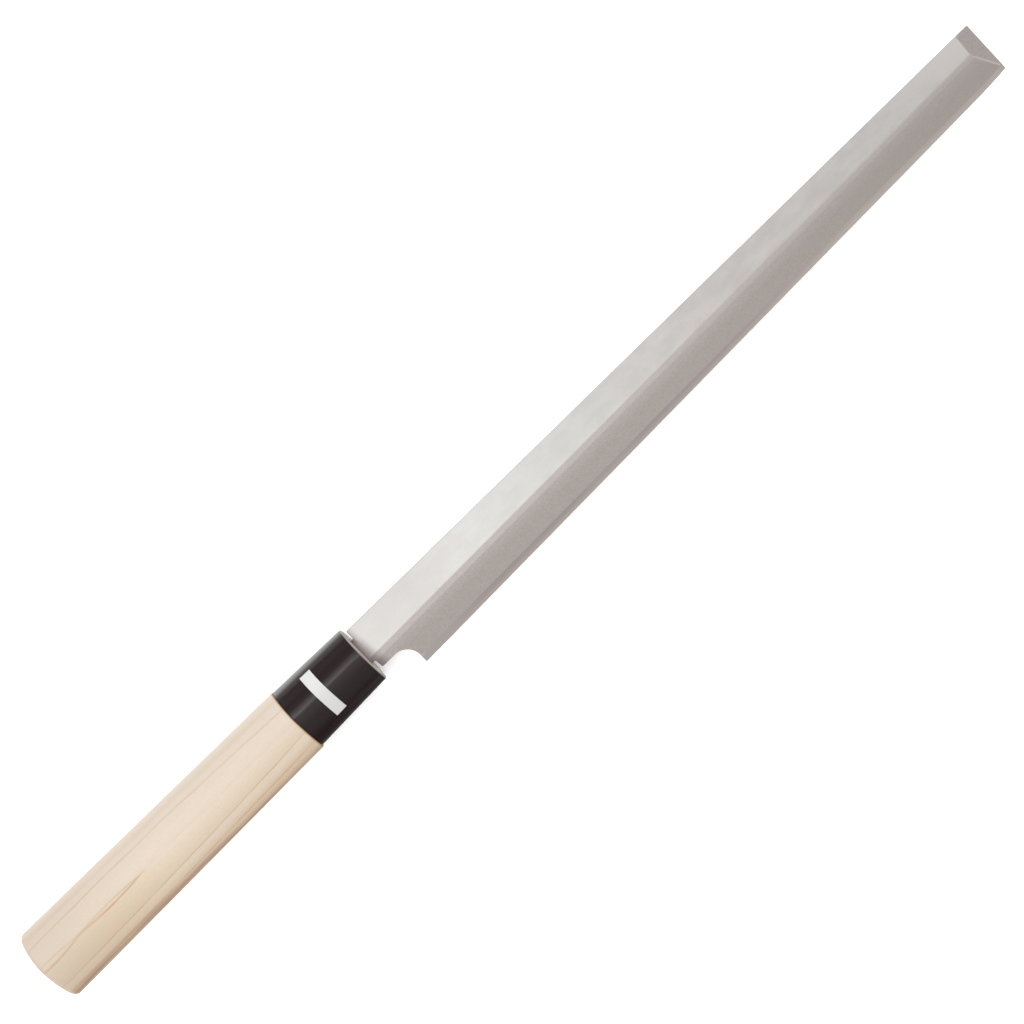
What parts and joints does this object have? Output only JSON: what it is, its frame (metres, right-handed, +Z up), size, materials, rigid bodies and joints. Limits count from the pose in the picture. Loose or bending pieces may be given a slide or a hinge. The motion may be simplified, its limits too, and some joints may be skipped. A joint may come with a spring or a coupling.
{
  "type": "takohiki knife",
  "caption": "Long single-bevel slicing knife with a square tip, a rounded choil, a laminated blade, a D-shaped wooden handle and a black collar with a blank label.",
  "frame": {"origin": "on the table, under the middle of the knife's box as it lies with the bevelled side up", "axes": "+X from the butt towards the tip, +Y towards the spine, +Z up, out of the bevelled side"},
  "size_m": [0.4108, 0.027, 0.0221],
  "materials": {
    "iron": "satin ground on the flat, hazy matte on the bevel",
    "steel": "stone-polished along the edge, ground hollow on the back",
    "wood": "bare sanded magnolia, pale with fine straight grain",
    "plastic": "black, semi-gloss",
    "paper": "white, uncoated, blank"
  },
  "bodies": {
    "root": {"blade": "iron", "edge_steel": "steel", "handle": "wood", "collar": "plastic", "label": "paper"}
  },
  "joints": []
}
